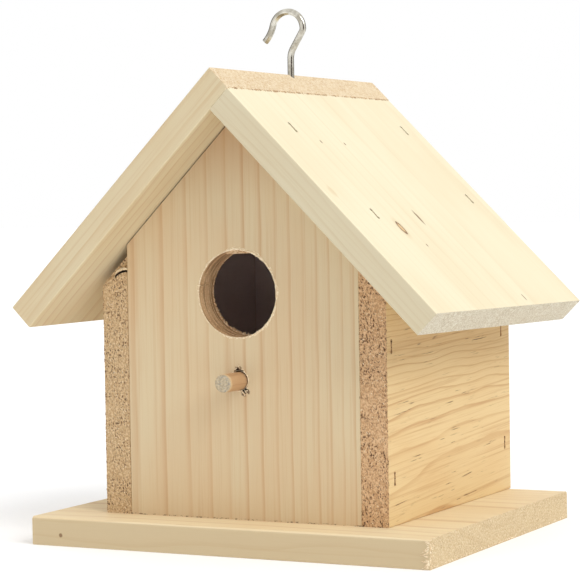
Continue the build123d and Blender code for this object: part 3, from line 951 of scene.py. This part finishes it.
# %% Saw rings
mesh = bmesh.new()
RINGS = ((1.9, 150, 262, 0.16), (3.4, 140, 250, 0.12), (5.1, 160, 270, 0.18), (7.0, 135, 240, 0.12),
         (8.6, 165, 265, 0.16), (10.4, 150, 255, 0.12))
for depth, start, end, height in RINGS:
    loops = []
    for degrees in range(start, end, 3):
        angle = math.radians(degrees)
        y = FRONT + depth + 0.25 * uneven(angle, 3.0, depth)
        lift = height * (0.6 + 0.8 * abs(uneven(angle, 9.0, depth + 4.0)))
        loops.append((
            on_circle(HOLE, angle, HOLE["radius"] + 0.1, y - 0.3),
            on_circle(HOLE, angle, HOLE["radius"] - lift, y),
            on_circle(HOLE, angle, HOLE["radius"] + 0.1, y + 0.35),
        ))
    loop_strip(mesh, loops, False)
notch = math.radians(169)
sliver(mesh, on_circle(HOLE, notch, 19.0, FRONT + 0.2), on_circle(HOLE, notch, 19.0, FRONT + 9.0),
       (1, 0, 0), 0.55, 0.5)
wooden(mesh, "entrance_saw_rings", drilled_wood)

# %% [markdown]
# Loose splinters stand in from the back edge at the lower left, and short ones break the
# line of the front rim on the right.

# %% Entrance splinters
mesh = bmesh.new()
for place in range(24):
    angle = math.radians(rng.uniform(200, 285))
    lean = angle + math.radians(rng.uniform(-9, 9))
    reach = rng.uniform(0.6, 1.9)
    root = on_circle(HOLE, angle, HOLE["radius"] + 0.15, INNER - rng.uniform(0.1, 0.6))
    tip = on_circle(HOLE, lean, HOLE["radius"] - reach, INNER - rng.uniform(-0.3, 0.9))
    sliver(mesh, root, tip, (0, -1, 0), rng.uniform(0.25, 0.55), 0.16, rng.uniform(0.0, 0.3))
for place in range(70):
    angle = math.radians(rng.uniform(-62, 62))
    lean = angle + math.radians(rng.uniform(-2.5, 2.5))
    root = on_circle(HOLE, angle, HOLE["radius"] + 0.15, FRONT + rng.uniform(0.15, 0.5))
    tip = on_circle(HOLE, lean, HOLE["radius"] - rng.uniform(0.15, 0.75), FRONT + rng.uniform(0.1, 0.6))
    sliver(mesh, root, tip, (0, -1, 0), rng.uniform(0.3, 0.8), 0.2)
wooden(mesh, "entrance_slivers", fresh_tear)

# %% [markdown]
# ## Round the perch
#
# The dowel was knocked into a hole a little too big for it. The drill tore the front face
# above it and below it on the right, and pale fibres still stand round both tears.

# %% Perch hole
perch_low, perch_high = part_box("perch")
PERCH_HOLE = {
    "x": round((perch_low[0] + perch_high[0]) / 2 / MM, 2) + 0.2,
    "z": round((perch_low[2] + perch_high[2]) / 2 / MM, 2) + 0.22,
    "radius": 4.365,
}
rim_burr_and_highlight("perch_hole_burr", PERCH_HOLE, 110, 0.6, 0.26, gaps=((62, 128), (285, 345)))

mesh = bmesh.new()
PERCH_TEARS = (
    (-3.2, 78.4, -1.9, 79.6), (-1.5, 80.2, -0.6, 79.0), (0.6, 78.9, 1.3, 78.1),
    (3.3, 70.9, 2.3, 70.2), (3.1, 69.6, 1.9, 69.2), (2.3, 68.6, 1.5, 69.6), (0.9, 68.3, 0.4, 69.3),
    (3.0, 72.1, 2.4, 71.0), (0.1, 69.4, 0.6, 68.0), (1.6, 67.2, 1.1, 68.7),
)
for from_x, from_z, to_x, to_z in PERCH_TEARS:
    root = (from_x, FRONT + 0.1, from_z)
    tip = (to_x, FRONT + rng.uniform(-0.1, 0.3), to_z)
    sliver(mesh, root, tip, (0, -1, 0), rng.uniform(0.35, 0.6), 0.22, rng.uniform(0.15, 0.4))
for place in range(6):
    x = rng.uniform(0.9, 3.1)
    z = rng.uniform(68.6, 71.0)
    root = (x, FRONT + 1.28, z)
    tip = (x + rng.uniform(-0.5, 0.5), FRONT + rng.uniform(0.2, 0.9), z + rng.uniform(0.3, 1.1))
    sliver(mesh, root, tip, (0, -1, 0), rng.uniform(0.2, 0.4), 0.2, 0.1)
wooden(mesh, "perch_tear_slivers", fresh_tear)

# %% [markdown]
# ## Torn ends and edges
#
# The floor board's front corner is frayed where the saw left the wood, and its end has a
# rough line of fibres along the bottom. Slivers are thicker here than anywhere else.

# %% Floor corner
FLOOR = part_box("floor_board")
FLOOR_RIGHT = FLOOR[1][0] / MM
FLOOR_FRONT = FLOOR[0][1] / MM
mesh = bmesh.new()
for place in range(34):
    z = 0.9 + 11.0 * rng.random() ** 1.5
    root = (FLOOR_RIGHT - rng.uniform(0.0, 0.9), FLOOR_FRONT + 0.1, z)
    tip = (root[0] - rng.uniform(0.8, 3.6), FLOOR_FRONT - 0.05, z + rng.uniform(-1.6, 1.0))
    tip = (tip[0], tip[1], min(max(tip[2], 0.3), 12.2))
    sliver(mesh, root, tip, (0, -1, 0), rng.uniform(0.3, 0.8), 0.25, rng.uniform(0.1, 0.5))
for place in range(46):
    z = rng.uniform(0.5, 12.3)
    root = (FLOOR_RIGHT - 0.1, FLOOR_FRONT + 0.3 + 6.0 * rng.random() ** 3, z)
    reach = rng.uniform(0.0, 0.25)
    aside = rng.uniform(-0.5, 1.2)
    level = z + rng.uniform(-1.0, 0.8)
    tip = (FLOOR_RIGHT + reach, root[1] + aside, min(max(level, 0.3), 12.5))
    sliver(mesh, root, tip, (1, 0, 0), rng.uniform(0.25, 0.6), 0.25, rng.uniform(0.1, 0.4))
for place in range(90):
    y = rng.uniform(FLOOR_FRONT + 2, 68.0)
    root = (FLOOR_RIGHT - 0.1, y, rng.uniform(0.5, 1.4))
    tip = (FLOOR_RIGHT + 0.1, y + rng.uniform(-1.5, 1.5), rng.uniform(0.15, 0.5))
    sliver(mesh, root, tip, (1, 0, 0), rng.uniform(0.25, 0.6), 0.2, rng.uniform(0.05, 0.3))
wooden(mesh, "floor_frayed_end", fresh_tear)

# %% [markdown]
# A coarse saw leaves fuzz along both edges of the side walls' ends and loose fibres on the
# sawn faces. The fuzz is dark like the end grain, and the loose fibres are pale.

# %% Fuzz on the side walls' front ends
WALL_EDGES = {"left_outer": -69.75, "left_inner": -57.3, "right_inner": 57.3, "right_outer": 69.75}
mesh = bmesh.new()
for side, x in WALL_EDGES.items():
    top = 114 if side.startswith("left") else 108
    for place in range(70):
        z = rng.uniform(13.2, top)
        root = (x + rng.uniform(-0.25, 0.25), FRONT + 0.1, z)
        tip = (x + rng.uniform(-0.3, 0.3), FRONT - rng.uniform(0.0, 0.15), z + rng.uniform(-1.6, 1.6))
        tip = (min(max(tip[0], -69.95), 69.95), tip[1], tip[2])
        sliver(mesh, root, tip, (0, -1, 0), rng.uniform(0.2, 0.5), 0.2, rng.uniform(0.0, 0.3))
wooden(mesh, "wall_end_fuzz", old_fuzz)

mesh = bmesh.new()
for place in range(130):
    right = place % 2
    x = rng.uniform(57.8, 69.4) if right else -rng.uniform(57.8, 69.4)
    z = rng.uniform(14.0, 108.0) if right else rng.uniform(14.0, 115.0)
    root = (x, FRONT + 0.1, z)
    tip = (x + rng.uniform(-0.8, 0.8), FRONT - rng.uniform(0.0, 0.1), z + rng.uniform(-0.9, 0.9))
    sliver(mesh, root, tip, (0, -1, 0), rng.uniform(0.25, 0.5), 0.2, rng.uniform(0.05, 0.35))
wooden(mesh, "wall_end_fibres", fresh_tear)

# %% [markdown]
# Where the left roof board laps over the right one, a thin line of dark fuzz marks the
# joint: fibres, and painted shade where the joint would lie in shadow. A few pale slivers
# roughen the lapped board's front corner.

# %% Joint below the ridge
BUTT = Vector((BOARD * slope, 0, PEAK + BOARD * slope))
ROOF_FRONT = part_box("right_roof_board")[0][1] / MM
ROOF_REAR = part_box("right_roof_board")[1][1] / MM
down = Vector(DOWN_RIGHT)
out = Vector(OUT_RIGHT)
# Painted shade: dark fuzz along the joint stands in for its shadow.
mesh = bmesh.new()
for place in range(230):
    y = rng.uniform(ROOF_FRONT + 0.8, ROOF_REAR - 0.8)
    root = BUTT + Vector((0, y, 0)) - down * 0.5 - out * 0.02
    tip = root + down * rng.uniform(0.6, 1.3) + Vector((0, rng.uniform(-0.8, 0.8), 0))
    sliver(mesh, root, tip, out, rng.uniform(0.3, 0.9), 0.16, rng.uniform(0.0, 0.1))
wooden(mesh, "ridge_joint_fuzz_and_shade", old_fuzz)

mesh = bmesh.new()
for place in range(30):
    along = rng.uniform(-1.5, 9.0)
    root = BUTT - down * along + Vector((0, ROOF_FRONT + 0.15, 0)) - out * rng.uniform(0.2, 2.0)
    tip = root + down * rng.uniform(-1.8, 1.8) - out * rng.uniform(-0.6, 0.8)
    tip.y = ROOF_FRONT + 0.05
    sliver(mesh, root, tip, (0, 1, 0), rng.uniform(0.25, 0.6), 0.2, 0.0)
wooden(mesh, "ridge_corner_slivers", fresh_tear)
